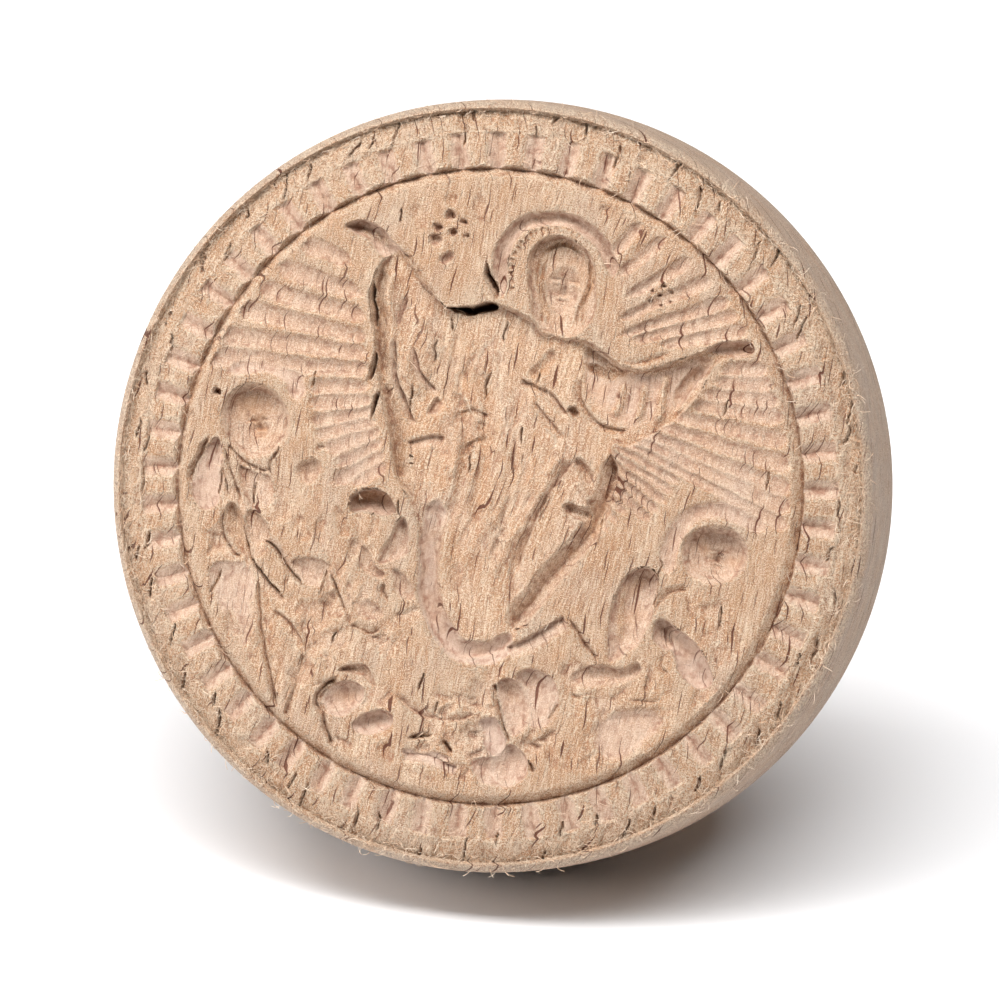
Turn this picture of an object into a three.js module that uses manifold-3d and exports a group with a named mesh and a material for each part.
// Bread stamp: a turned beech disc with a carved face, glued to a turned knob handle.
// It lies on the rim of the disc and on the knob, with its face towards -Y and tilted up.
// Millimetres, +Z up, origin on the ground under the middle of the object's box.
//
// Each piece is made in the stamp's own frame: the face lies in the plane z = 0 and looks
// along +z, x is right and y is up on the face, and everything else is behind it, at z < 0.

import * as THREE from 'three';
import { mergeVertices } from 'three/addons/utils/BufferGeometryUtils.js';
import Module from 'manifold-3d';

const wasm = await Module();
wasm.setup();

// Turned disc
const faceDiameter = 80;
const headThickness = 19;
const bevelWidth = 2.2;
const bevelDrop = 0.55;
const shoulderFlare = 1.15;
const shoulderDepth = 1.3;
const wallFlare = 1.7;
const widestBack = 14.5;
const backRound = 4.5;

// Turned handle
const tenonDiameter = 14;
const tenonLength = 11;
const flangeDiameter = 31;
const flangeThickness = 3.4;
const neckDiameter = 14.5;
const waistFromSeat = 19;
const gripLength = 60;
const knobDiameter = 31;
const knobWidestFromEnd = 14;
const knobShoulderLength = 18;
const knobShoulderAngle = 50;
const knobFlat = 10;
const seatClearance = 0.3;

// Notched border and ring groove
const fieldDiameter = 65.4;
const grooveWidth = 1.4;
const grooveDepth = 1.2;
const notchCount = 57;
const notchDepth = 0.95;
const notchLandShare = 0.35;
const notchRunOut = 0.5;

// Carved picture: depths of its kinds of cut, and the turn of the drawing on the disc
const designTurn = THREE.MathUtils.degToRad(5.3);
const notchStart = THREE.MathUtils.degToRad(5.9);
const rayDepth = 0.5;
const rayPitch = THREE.MathUtils.degToRad(4.2);
const rayOverlap = 1.1;
const haloDepth = 0.6;
const outlineDepth = 1.0;
const foldDepth = 0.55;
const robeDepth = 1.3;
const headDepth = 2.2;
const handDepth = 1.1;

// Facets: the rim has two to each notch, so a flat lies midway under the disc
const rimFacets = 2 * notchCount;
const handleFacets = 48;
const socketFacets = 24;
const strokeStep = 3;
const cutterLift = 0.6;

// The picture was drawn for a field of this radius, and is scaled to the field it is cut in
const drawnFieldRadius = 32.7;
const drawingScale = fieldDiameter / 2 / drawnFieldRadius;

const faceRadius = faceDiameter / 2;
const fieldRadius = fieldDiameter / 2;
const socketRadius = tenonDiameter / 2 + seatClearance;
const socketDepth = tenonLength + seatClearance;

/** A mesh geometry as a solid for cutting and joining. */
function solid(geometry) {
  const bare = geometry.clone();
  bare.deleteAttribute('normal');
  bare.deleteAttribute('uv');
  const merged = mergeVertices(bare, 1e-5);
  return new wasm.Manifold(new wasm.Mesh({
    numProp: 3,
    vertProperties: new Float32Array(merged.attributes.position.array),
    triVerts: new Uint32Array(merged.index.array),
  }));
}

/** A solid back as a mesh geometry. */
function geometryOf(body) {
  const mesh = body.getMesh();
  const geometry = new THREE.BufferGeometry();
  geometry.setAttribute('position', new THREE.BufferAttribute(mesh.vertProperties, 3));
  geometry.setIndex(new THREE.BufferAttribute(mesh.triVerts, 1));
  return geometry;
}

/** All bodies joined, two by two. */
function joined(bodies) {
  let level = bodies;
  while (level.length > 1) {
    const next = [];
    for (let i = 0; i < level.length; i += 2) {
      next.push(i + 1 < level.length ? level[i].add(level[i + 1]) : level[i]);
    }
    level = next;
  }
  return level[0];
}

/** A closed body through rings of equal length, each counter-clockwise seen from the last one. */
function loft(rings) {
  const count = rings[0].length;
  const index = [];
  for (let i = 0; i < rings.length - 1; i++) {
    for (let j = 0; j < count; j++) {
      const here = i * count + j;
      const beside = i * count + (j + 1) % count;
      index.push(here, beside, beside + count, here, beside + count, here + count);
    }
  }
  const last = (rings.length - 1) * count;
  for (let j = 1; j < count - 1; j++) {
    index.push(0, j + 1, j, last, last + j, last + j + 1);
  }
  const geometry = new THREE.BufferGeometry().setFromPoints(rings.flat());
  geometry.setIndex(index);
  return geometry;
}

/** A profile of [radius, z] points turned about the z axis, with a flat facing -y. */
function turned(profile, facets) {
  const points = profile.map(([radius, z]) => new THREE.Vector2(radius, z));
  const geometry = new THREE.LatheGeometry(points, facets);
  geometry.rotateX(Math.PI / 2);
  geometry.rotateZ(Math.PI / facets);
  return geometry;
}

/** Points of a quarter ellipse in a profile, from angle `from` to `to` in degrees. */
function arc(centreRadius, centreZ, radiusX, radiusZ, from, to, steps) {
  const points = [];
  for (let i = 0; i <= steps; i++) {
    const angle = THREE.MathUtils.degToRad(from + (to - from) * i / steps);
    points.push([centreRadius + radiusX * Math.cos(angle), centreZ + radiusZ * Math.sin(angle)]);
  }
  return points;
}

/** Outer profile of the disc, from the middle of its back round its rim to the middle of its face. */
function discProfile() {
  const widest = faceRadius + wallFlare;
  const roundDepth = headThickness - widestBack;
  const shoulderBack = bevelDrop + shoulderDepth;
  const wallMiddle = faceRadius + (shoulderFlare + 2 * wallFlare) / 3;
  return [
    [0, -headThickness],
    ...arc(widest - backRound, -widestBack, backRound, roundDepth, -90, 0, 4),
    [wallMiddle, -(shoulderBack + widestBack) / 2],
    ...arc(faceRadius, -shoulderBack, shoulderFlare, shoulderDepth, 0, 90, 3),
    [faceRadius - bevelWidth, 0],
    [0, 0],
  ];
}

/** Outer profile of the handle, from the end of the knob to the end of the tenon. */
function handleProfile() {
  const seat = -headThickness - seatClearance;
  const neckTop = seat - flangeThickness;
  const knobEnd = seat - gripLength;
  const widest = knobEnd + knobWidestFromEnd;
  const knobRadius = knobDiameter / 2;
  const neckRadius = neckDiameter / 2;
  const shoulder = arc(0, widest, knobRadius, knobShoulderLength, 0, knobShoulderAngle, 5);
  const [shoulderRadius, shoulderZ] = shoulder.at(-1);
  const slope = knobShoulderLength / knobRadius / Math.tan(THREE.MathUtils.degToRad(knobShoulderAngle));
  const waist = new THREE.Vector2(neckRadius, seat - waistFromSeat);
  const lowerNeck = new THREE.QuadraticBezierCurve(
    new THREE.Vector2(shoulderRadius, shoulderZ),
    new THREE.Vector2(neckRadius, shoulderZ + (shoulderRadius - neckRadius) * slope),
    waist,
  );
  const upperNeck = new THREE.QuadraticBezierCurve(
    waist,
    new THREE.Vector2(neckRadius, neckTop),
    new THREE.Vector2(flangeDiameter * 0.42, neckTop),
  );
  const bead = flangeThickness / 2;
  return [
    [0, knobEnd],
    ...arc(knobFlat / 2, widest, knobRadius - knobFlat / 2, knobWidestFromEnd, -90, -15, 5),
    ...shoulder,
    ...lowerNeck.getPoints(5).slice(1).map((point) => [point.x, point.y]),
    ...upperNeck.getPoints(5).slice(1).map((point) => [point.x, point.y]),
    ...arc(flangeDiameter / 2 - bead, neckTop + bead, bead, bead, -60, 60, 4),
    [flangeDiameter / 2 - bead, seat],
    [tenonDiameter / 2, seat],
    [tenonDiameter / 2, seat + tenonLength - 1],
    [tenonDiameter / 2 - 1, seat + tenonLength],
    [0, seat + tenonLength],
  ];
}

/** A point of the drawing on the face, at height z over it. */
function onFace(u, v, z) {
  const point = new THREE.Vector3(u * drawingScale, v * drawingScale, z);
  return point.applyAxisAngle(new THREE.Vector3(0, 0, 1), designTurn);
}

// Cross-sections of a carving tool: half widths across its mouth and depths, both up to 1
const veeTool = [[0, 1]];
const gougeTool = [[-0.5, 1], [0.5, 1]];

/** Section of a tool as [side, z] points: its cut below z = 0, and its walls carried on above it. */
function toolSection(tool, width, depth) {
  const [side, down] = tool[0];
  const spread = (1 + side) * width / 2 / (down * depth);
  const top = width / 2 + spread * cutterLift;
  const bottom = tool.map(([x, y]) => [x * width / 2, -y * depth]);
  return [[-top, cutterLift], ...bottom, [top, cutterLift]];
}

/**
 * One stroke of a tool along a smooth line through points of the drawing.
 * `ends` says where it runs out to nothing: 'both', 'start', 'finish' or 'none'.
 */
function stroke(points, width, depth, ends = 'both', tool = veeTool) {
  const line = new THREE.CatmullRomCurve3(points.map(([u, v]) => new THREE.Vector3(u, v, 0)), false, 'centripetal');
  const steps = Math.max(3, Math.round(line.getLength() / strokeStep));
  const section = toolSection(tool, width, depth);
  const least = 0.9 * cutterLift / (cutterLift + depth);
  const rings = [];
  for (let i = 0; i <= steps; i++) {
    const share = i / steps;
    const start = ends === 'both' || ends === 'start' ? share * 3 : 1;
    const finish = ends === 'both' || ends === 'finish' ? (1 - share) * 3 : 1;
    const size = least + (1 - least) * Math.min(1, start, finish);
    const middle = line.getPointAt(share);
    const along = line.getTangentAt(share);
    rings.push(section.map(([side, z]) => onFace(
      middle.x - along.y * side * size,
      middle.y + along.x * side * size,
      cutterLift - size * (cutterLift - z),
    )));
  }
  return solid(loft(rings));
}

/** A line along an arc of the drawing, from angle `from` to `to` in degrees. */
function arcLine(u, v, radius, from, to, steps = 8) {
  return arc(u, v, radius, radius, from, to, steps);
}

/** Corners of an outline in counter-clockwise order. */
function leftHanded(corners) {
  const area = THREE.ShapeUtils.area(corners.map(([u, v]) => new THREE.Vector2(u, v)));
  return area < 0 ? corners.toReversed() : corners;
}

/** A hollow under an outline, with its flattest part round its middle. */
function hollow(corners, depth) {
  const outline = leftHanded(corners);
  const middle = outline.reduce(([x, y], [u, v]) => [x + u / outline.length, y + v / outline.length], [0, 0]);
  const walls = [[0.4, -depth], [0.8, -0.55 * depth], [1, 0], [1 + 0.2 * cutterLift / (0.55 * depth), cutterLift]];
  return solid(loft(walls.map(([share, z]) => outline.map(([u, v]) => onFace(
    middle[0] + (u - middle[0]) * share,
    middle[1] + (v - middle[1]) * share,
    z,
  )))));
}

/** An oval outline about a point, `length` along its own turned axis. */
function oval(u, v, length, width, turn = 0, corners = 12) {
  const angle = THREE.MathUtils.degToRad(turn);
  const outline = [];
  for (let i = 0; i < corners; i++) {
    const step = 2 * Math.PI * i / corners;
    const along = length / 2 * Math.cos(step);
    const across = width / 2 * Math.sin(step);
    outline.push([
      u + along * Math.cos(angle) - across * Math.sin(angle),
      v + along * Math.sin(angle) + across * Math.cos(angle),
    ]);
  }
  return outline;
}

/** An upright prism over an outline, deeper than any cut, to keep wood from a cutter. */
function prism(corners) {
  const outline = leftHanded(corners);
  return solid(loft([-2 * headDepth, 2 * cutterLift].map((z) => outline.map(([u, v]) => onFace(u, v, z)))));
}

/** Groove between the picture and the notches. */
function ringGroove() {
  const outer = fieldRadius + grooveWidth;
  const valley = fieldRadius + 0.6 * grooveWidth;
  const spread = cutterLift / grooveDepth;
  return solid(turned([
    [valley, -grooveDepth],
    [outer + 0.4 * grooveWidth * spread, cutterLift],
    [fieldRadius - 0.6 * grooveWidth * spread, cutterLift],
    [valley, -grooveDepth],
  ], rimFacets));
}

/** V-notches round the border, each open into the ring groove and running out at the bevel. */
function borderNotches() {
  const inner = fieldRadius + 0.6 * grooveWidth;
  const outer = faceRadius - bevelWidth;
  const pitch = 2 * Math.PI / notchCount;
  const widthShare = 2 * Math.tan(pitch / 2) * (1 - notchLandShare);
  const notches = [];
  for (let i = 0; i < notchCount; i++) {
    const turn = new THREE.Matrix4().makeRotationZ(designTurn + notchStart + i * pitch);
    const stations = [[inner, 1], [outer - notchRunOut, 1], [outer + 0.2, 0]];
    const rings = stations.map(([radius, size]) => {
      const width = radius * widthShare;
      const least = 0.95 * cutterLift / (cutterLift + notchDepth);
      const share = least + (1 - least) * size;
      return toolSection(veeTool, width, notchDepth).map(([side, z]) => new THREE.Vector3(
        radius,
        side * share,
        cutterLift - share * (cutterLift - z),
      ).applyMatrix4(turn));
    });
    notches.push(solid(loft(rings)));
  }
  return joined(notches);
}

/** V-grooves side by side that open outwards from a point of the drawing to the ring groove. */
function rayFan(u, v, fromDegrees, toDegrees, innerRadius) {
  const from = THREE.MathUtils.degToRad(fromDegrees);
  const to = THREE.MathUtils.degToRad(toDegrees);
  const count = Math.round((to - from) / rayPitch);
  const rays = [];
  for (let i = 0; i < count; i++) {
    const angle = from + (i + 0.5) * (to - from) / count;
    const along = [Math.cos(angle), Math.sin(angle)];
    const middle = u * along[0] + v * along[1];
    const reach = Math.sqrt(drawnFieldRadius ** 2 - (u * u + v * v - middle * middle)) - middle;
    const rings = [[innerRadius, 0.5], [reach + rayDepth, 1]].map(([radius, size]) => {
      const width = 2 * rayOverlap * radius * Math.tan((to - from) / count / 2);
      return toolSection(veeTool, width, rayDepth * size).map(([side, z]) => onFace(
        u + radius * along[0] - side * along[1],
        v + radius * along[1] + side * along[0],
        z,
      ));
    });
    rays.push(solid(loft(rings)));
  }
  return joined(rays);
}

/** Outline of the robed figure with both arms out, which the rays stop at. */
const robedOutline = [
  [-13, 25], [-15, 27.5], [-12.5, 29], [-9.5, 26], [-6, 20.5], [-4, 18.5], [0.5, 19], [2.5, 19],
  [5, 16.5], [10.5, 16], [14.9, 12.4], [20.6, 13.5], [28.7, 16.5], [29, 14], [25, 13], [22.9, 9.2],
  [17.9, 5.1], [15, 4], [13.5, 3], [12.4, -3.1], [2.6, -16], [-3, -19], [-7, -15], [-7.6, -9],
  [-5.5, -1], [-10, 5], [-12, 10], [-12.4, 17.6],
];

/** Both fans of rays, without what stands in front of them. */
function rays() {
  const left = rayFan(1, 14.5, 146, 226, 9);
  const right = rayFan(1.5, 13.5, -62, 24, 13);
  const kept = joined([
    prism(robedOutline),
    prism(oval(7.8, 21.8, 15.4, 15.4)),
    prism(oval(-24.8, 7.2, 13.6, 13.6)),
    prism(oval(24.4, -8, 13.4, 13.4)),
    prism([[-33, 6], [-24, 2], [-19, 2], [-15.5, 1.5], [-11, -1], [-11, -12], [-33, -12]]),
    prism([[9, -8], [13, -3], [16, -6.5], [19, -7], [26, -12], [33, -12], [20, -30], [9, -20]]),
  ]);
  return left.add(right).subtract(kept);
}

/** Robed figure with both arms out: hollows of its body, then the outlines and folds round them. */
function robedFigure() {
  return [
    hollow(oval(-8.9, 15.6, 17.5, 6.4, 82), robeDepth),
    hollow(oval(-0.8, 13.4, 13, 14, 0), robeDepth),
    hollow(oval(15.2, 9.1, 13.5, 7.2, 22), robeDepth),
    hollow(oval(7, 4.6, 15, 8.5, 100), 0.8 * robeDepth),
    hollow(oval(-1.4, -7.5, 19, 8, 97), 0.7 * robeDepth),
    hollow([[-12.4, 25.2], [-10.4, 23.6], [-9.2, 25.2], [-10.6, 27.6], [-12.8, 28.8], [-15.3, 27.4]], handDepth),
    hollow([[22.6, 11.3], [25.2, 12.9], [28.6, 13.9], [28.7, 15.6], [25.8, 15.3], [22, 13]], handDepth),
    hollow([[5.4, 18.6], [6.8, 16.2], [9.4, 16.4], [10.6, 19], [11.6, 22.6], [10.8, 25.4], [8, 26.2], [5.4, 24.8], [4.6, 22]], headDepth),
    stroke([[-12.6, 23.4], [-12.3, 17.6], [-11.7, 10.5], [-10.4, 6], [-9, 3.6]], 1.1, outlineDepth),
    stroke([[-9.4, 25.6], [-6.7, 22.4], [-5, 20.2], [-4.2, 18.7]], 1.0, outlineDepth, 'start'),
    stroke([[-4.9, 19], [-1.8, 18.1], [1.2, 18.9]], 1.8, 2 * outlineDepth, 'both', gougeTool),
    stroke([[10.1, 15.8], [12.6, 14], [14.9, 12.4], [17.2, 12.4], [20.6, 13.4], [23.1, 14.4]], 1.0, outlineDepth),
    stroke([[9.2, 8.8], [12, 6], [15.2, 4.3], [17.9, 5.1], [20.1, 6.7], [22.9, 9.4]], 1.2, outlineDepth),
    stroke([[9.6, 13.4], [12.6, 12.5], [15.6, 12]], 2.2, outlineDepth, 'both', gougeTool),
    stroke([[3.3, 11.6], [5.4, 10.8], [7.2, 9.9], [8.9, 7.6], [9.2, 5]], 1.0, 1.3 * foldDepth),
    stroke([[-8.4, 15], [-7.2, 12.2], [-5, 9.8]], 1.1, foldDepth + robeDepth / 2),
    stroke([[-10.2, 12.4], [-9, 9], [-7.2, 6.6]], 1.0, foldDepth + robeDepth / 3),
    stroke([[17.4, 11], [16.6, 8.4], [15.2, 6.2]], 1.0, foldDepth + robeDepth / 2),
    stroke([[20, 11.6], [18.8, 9], [17.4, 7.2]], 0.9, foldDepth + robeDepth / 3),
    stroke([[-5.2, 0.6], [-6.4, -4.2], [-7, -9.5], [-6.1, -14.3], [-3.2, -17.7], [0, -17.9], [1.8, -16]],
      1.9, outlineDepth, 'start', gougeTool),
    stroke([[1.4, -16.6], [7.4, -9.4], [12.2, -3.2], [13.1, 1], [13.7, 4.4]], 2.0, 1.2 * outlineDepth, 'finish'),
    stroke([[12.2, -1.6], [9.8, -2.4], [7.4, -3.4]], 1.6, foldDepth),
    stroke([[2.4, -16.8], [8.6, -13.9]], 1.5, foldDepth, 'start', gougeTool),
    stroke([[8.2, -13.6], [12.3, -18.6]], 1.5, foldDepth, 'finish', gougeTool),
    stroke([[-2.2, -1.5], [-3.4, -7], [-3.2, -13]], 1.4, foldDepth + 0.5 * robeDepth, 'both', gougeTool),
    stroke([[3.6, 1.5], [2.6, -5], [0.4, -13]], 1.6, foldDepth + 0.5 * robeDepth, 'both', gougeTool),
    stroke(arcLine(7.8, 21.8, 6.7, 190, -12, 10), 1.3, haloDepth, 'both', gougeTool),
  ];
}

/** Winged figure at the left: halo, head, wing, arms and the folds of its robe. */
function leftFigure() {
  return [
    hollow(oval(-24.6, 6.9, 9.4, 7.6, 100), headDepth),
    stroke(arcLine(-24.7, 7.2, 5.9, 178, -34, 10), 1.2, haloDepth, 'both', gougeTool),
    hollow(oval(-29.5, 10.1, 1.6, 1.3, 30, 8), outlineDepth),
    hollow([[-32.2, -3], [-31, -8.4], [-29.2, -6.5], [-28.6, -1.5], [-29.2, 3], [-31, 6.2]], 0.9 * robeDepth),
    stroke([[-28.2, 4], [-28, 0], [-28.5, -3.5], [-26.6, -7.3]], 1.2, foldDepth),
    hollow(oval(-24.6, -3.4, 8, 5.6, 80), 0.6 * robeDepth),
    stroke([[-26.3, -5.9], [-23.2, -8.3], [-19.8, -10.4]], 2.2, outlineDepth, 'both', gougeTool),
    hollow([[-19.6, -10.2], [-17, -9.6], [-17.4, -7.8], [-20.2, -7.9]], handDepth),
    stroke([[-17.2, -8.6], [-15.9, -11.6], [-14.6, -15]], 1.0, foldDepth),
    stroke([[-29, -8.2], [-26.2, -7.9], [-23.8, -10.5], [-21.4, -12.6]], 1.5, outlineDepth, 'both', gougeTool),
    hollow([[-28.2, -14.8], [-26.2, -18.6], [-24.2, -19.6], [-24.6, -14], [-26, -10.4], [-28.6, -9.2]], 0.8 * robeDepth),
    hollow([[-23.6, -17], [-23.2, -22], [-22, -23.6], [-20.2, -19], [-20.6, -15.6], [-22.8, -13.6]], 0.7 * robeDepth),
    stroke([[-24.2, -11.6], [-24, -18.6], [-22.6, -24.4]], 1.0, foldDepth),
    stroke([[-23.4, -12.8], [-21.2, -14.4], [-20, -17.4]], 1.2, foldDepth),
  ];
}

/** Small figure between the left one and the robe. */
function smallFigure() {
  return [
    hollow([[-12.4, -2.6], [-9.8, -2.8], [-10, -1.2], [-12.4, -0.1], [-14.9, -0.7]], 1.1 * outlineDepth),
    hollow([[-11.2, -5.6], [-12.4, -7.9], [-9.6, -7], [-8, -5.6], [-8.9, -3]], 1.1 * outlineDepth),
    hollow(oval(-17.6, -4.6, 6.5, 4, 120), 0.6 * robeDepth),
    hollow(oval(-19.6, 1, 3.4, 2.6, 0, 10), foldDepth),
    stroke([[-14, -6.2], [-14, -8.2], [-12.4, -9.6], [-10.8, -10]], 1.1, outlineDepth),
    stroke([[-16.6, -3.2], [-14.6, -4.8], [-12.6, -4.4]], 1.2, outlineDepth),
    stroke([[-15, -12.4], [-12.9, -14], [-11, -13.2]], 1.4, foldDepth),
    stroke([[-9.2, 3.4], [-9.8, 0.8], [-8.4, -1.4]], 1.4, outlineDepth),
    hollow(oval(-11.2, -17.6, 7, 3.2, 100), 0.5 * robeDepth),
  ];
}

/** Fallen guards at the lower left and the ground under the robe. */
function lowerFigures() {
  return [
    hollow(oval(-15.9, -22.2, 5.4, 4.2, 15), 0.7 * headDepth),
    hollow(oval(-12.9, -25.3, 5, 3, 28), 0.6 * headDepth),
    hollow(oval(-14.1, -19.8, 3.6, 2, 20, 10), foldDepth),
    stroke([[-16, -19.9], [-18.2, -21.7], [-18.4, -24.2], [-17.4, -27.8]], 0.9, outlineDepth),
    stroke([[-9.6, -22.4], [-6, -24.1], [-2.6, -24.2], [-0.4, -23.6]], 1.1, foldDepth),
    hollow([[-8.4, -28.9], [-3.6, -28.8], [-4.2, -26.8], [-9, -26.6]], foldDepth),
    stroke(arcLine(2.4, -23.2, 2.6, 125, -10, 6), 1.3, foldDepth, 'both', gougeTool),
    stroke(arcLine(5.5, -22.4, 2.8, 130, -15, 6), 1.3, foldDepth, 'both', gougeTool),
    stroke(arcLine(8.6, -21.8, 2.4, 130, 10, 5), 1.2, foldDepth, 'both', gougeTool),
    hollow([[-1.8, -29], [0.2, -31.8], [3.2, -31.4], [3.6, -29.4], [1.8, -26], [-0.6, -25.2]], 0.7 * robeDepth),
    hollow(oval(6, -24.8, 2, 1.6, 0, 8), foldDepth),
    hollow(oval(14.5, -25.4, 10.5, 5.6, 22), 0.6 * robeDepth),
    stroke([[8.6, -19.2], [12, -18.5], [15.6, -19.6]], 1.7, outlineDepth, 'both', gougeTool),
    stroke([[9.8, -22.2], [14.4, -21.7], [19.6, -22.4]], 0.9, foldDepth),
  ];
}

/** Winged figure at the right: halo, head, bent arms. */
function rightFigure() {
  return [
    hollow(oval(24.3, -7.4, 8, 6.8, 70), headDepth),
    stroke(arcLine(24.3, -8.2, 5.9, 186, 22, 9), 1.2, haloDepth, 'both', gougeTool),
    stroke([[17.2, -8.4], [15.8, -12.4], [13.6, -17.6]], 3.6, 1.2 * outlineDepth, 'both', gougeTool),
    stroke([[17.8, -13], [19, -11.3], [21.6, -10.8]], 1.2, foldDepth),
    hollow(oval(19, -15.5, 4, 3.6, 0), 0.6 * headDepth),
    stroke([[18.6, -15.4], [21.2, -18], [24.6, -21.6]], 4.4, 1.3 * outlineDepth, 'none', gougeTool),
    hollow(oval(26.6, -15.4, 7, 4, 60), 0.6 * robeDepth),
  ];
}

/** Blind socket for the tenon in the middle of the back. */
function socket() {
  const bottom = socketDepth - headThickness;
  return solid(turned([
    [0, -headThickness - 1],
    [socketRadius, -headThickness - 1],
    [socketRadius, bottom],
    [0, bottom],
  ], socketFacets));
}

/** The largest of the separate bodies that cutting left, without loose splinters. */
function largest(body) {
  return body.decompose().reduce((best, next) => (next.volume() > best.volume() ? next : best));
}

/** The disc with its carving and the socket for the handle. */
function stampHead() {
  const disc = solid(turned(discProfile(), rimFacets));
  const cuts = joined([
    socket(),
    ringGroove(),
    borderNotches(),
    rays(),
    ...robedFigure(),
    ...leftFigure(),
    ...smallFigure(),
    ...lowerFigures(),
    ...rightFigure(),
  ]);
  return geometryOf(largest(disc.subtract(cuts)));
}

/** Lowest place of a turned piece, below the middle of the face, when its axis rises by `lean`. */
function lowest(profile, facets, lean) {
  const flat = Math.cos(Math.PI / facets);
  return Math.min(...profile.map(([radius, z]) => z * Math.sin(lean) - radius * flat * Math.cos(lean)));
}

/** Angle by which the axis rises towards the face when disc and knob both touch the ground. */
function restingLean() {
  let low = 0;
  let high = Math.PI / 2;
  for (let i = 0; i < 50; i++) {
    const middle = (low + high) / 2;
    const discLow = lowest(discProfile(), rimFacets, middle);
    const knobLow = lowest(handleProfile(), handleFacets, middle);
    if (discLow < knobLow) low = middle;
    else high = middle;
  }
  return (low + high) / 2;
}

function beech(color, roughness) {
  return new THREE.MeshStandardMaterial({ color, roughness, metalness: 0 });
}

function piece(name, geometry, material) {
  const mesh = new THREE.Mesh(geometry, material);
  mesh.name = name;
  return mesh;
}

const lean = restingLean();
const stamp = new THREE.Group();
stamp.add(piece('stamp_head', stampHead(), beech(0xd9b18c, 0.75)));
stamp.add(piece('handle', geometryOf(solid(turned(handleProfile(), handleFacets))), beech(0xd2aa84, 0.6)));
stamp.rotation.x = Math.PI / 2 - lean;
stamp.updateMatrixWorld(true);

// The ground is under the lowest place, and the origin under the middle of the box
const box = new THREE.Box3().setFromObject(stamp, true);
stamp.position.set(-(box.min.x + box.max.x) / 2, -(box.min.y + box.max.y) / 2, -box.min.z);

const breadStamp = new THREE.Group();
breadStamp.add(stamp);

export default breadStamp;
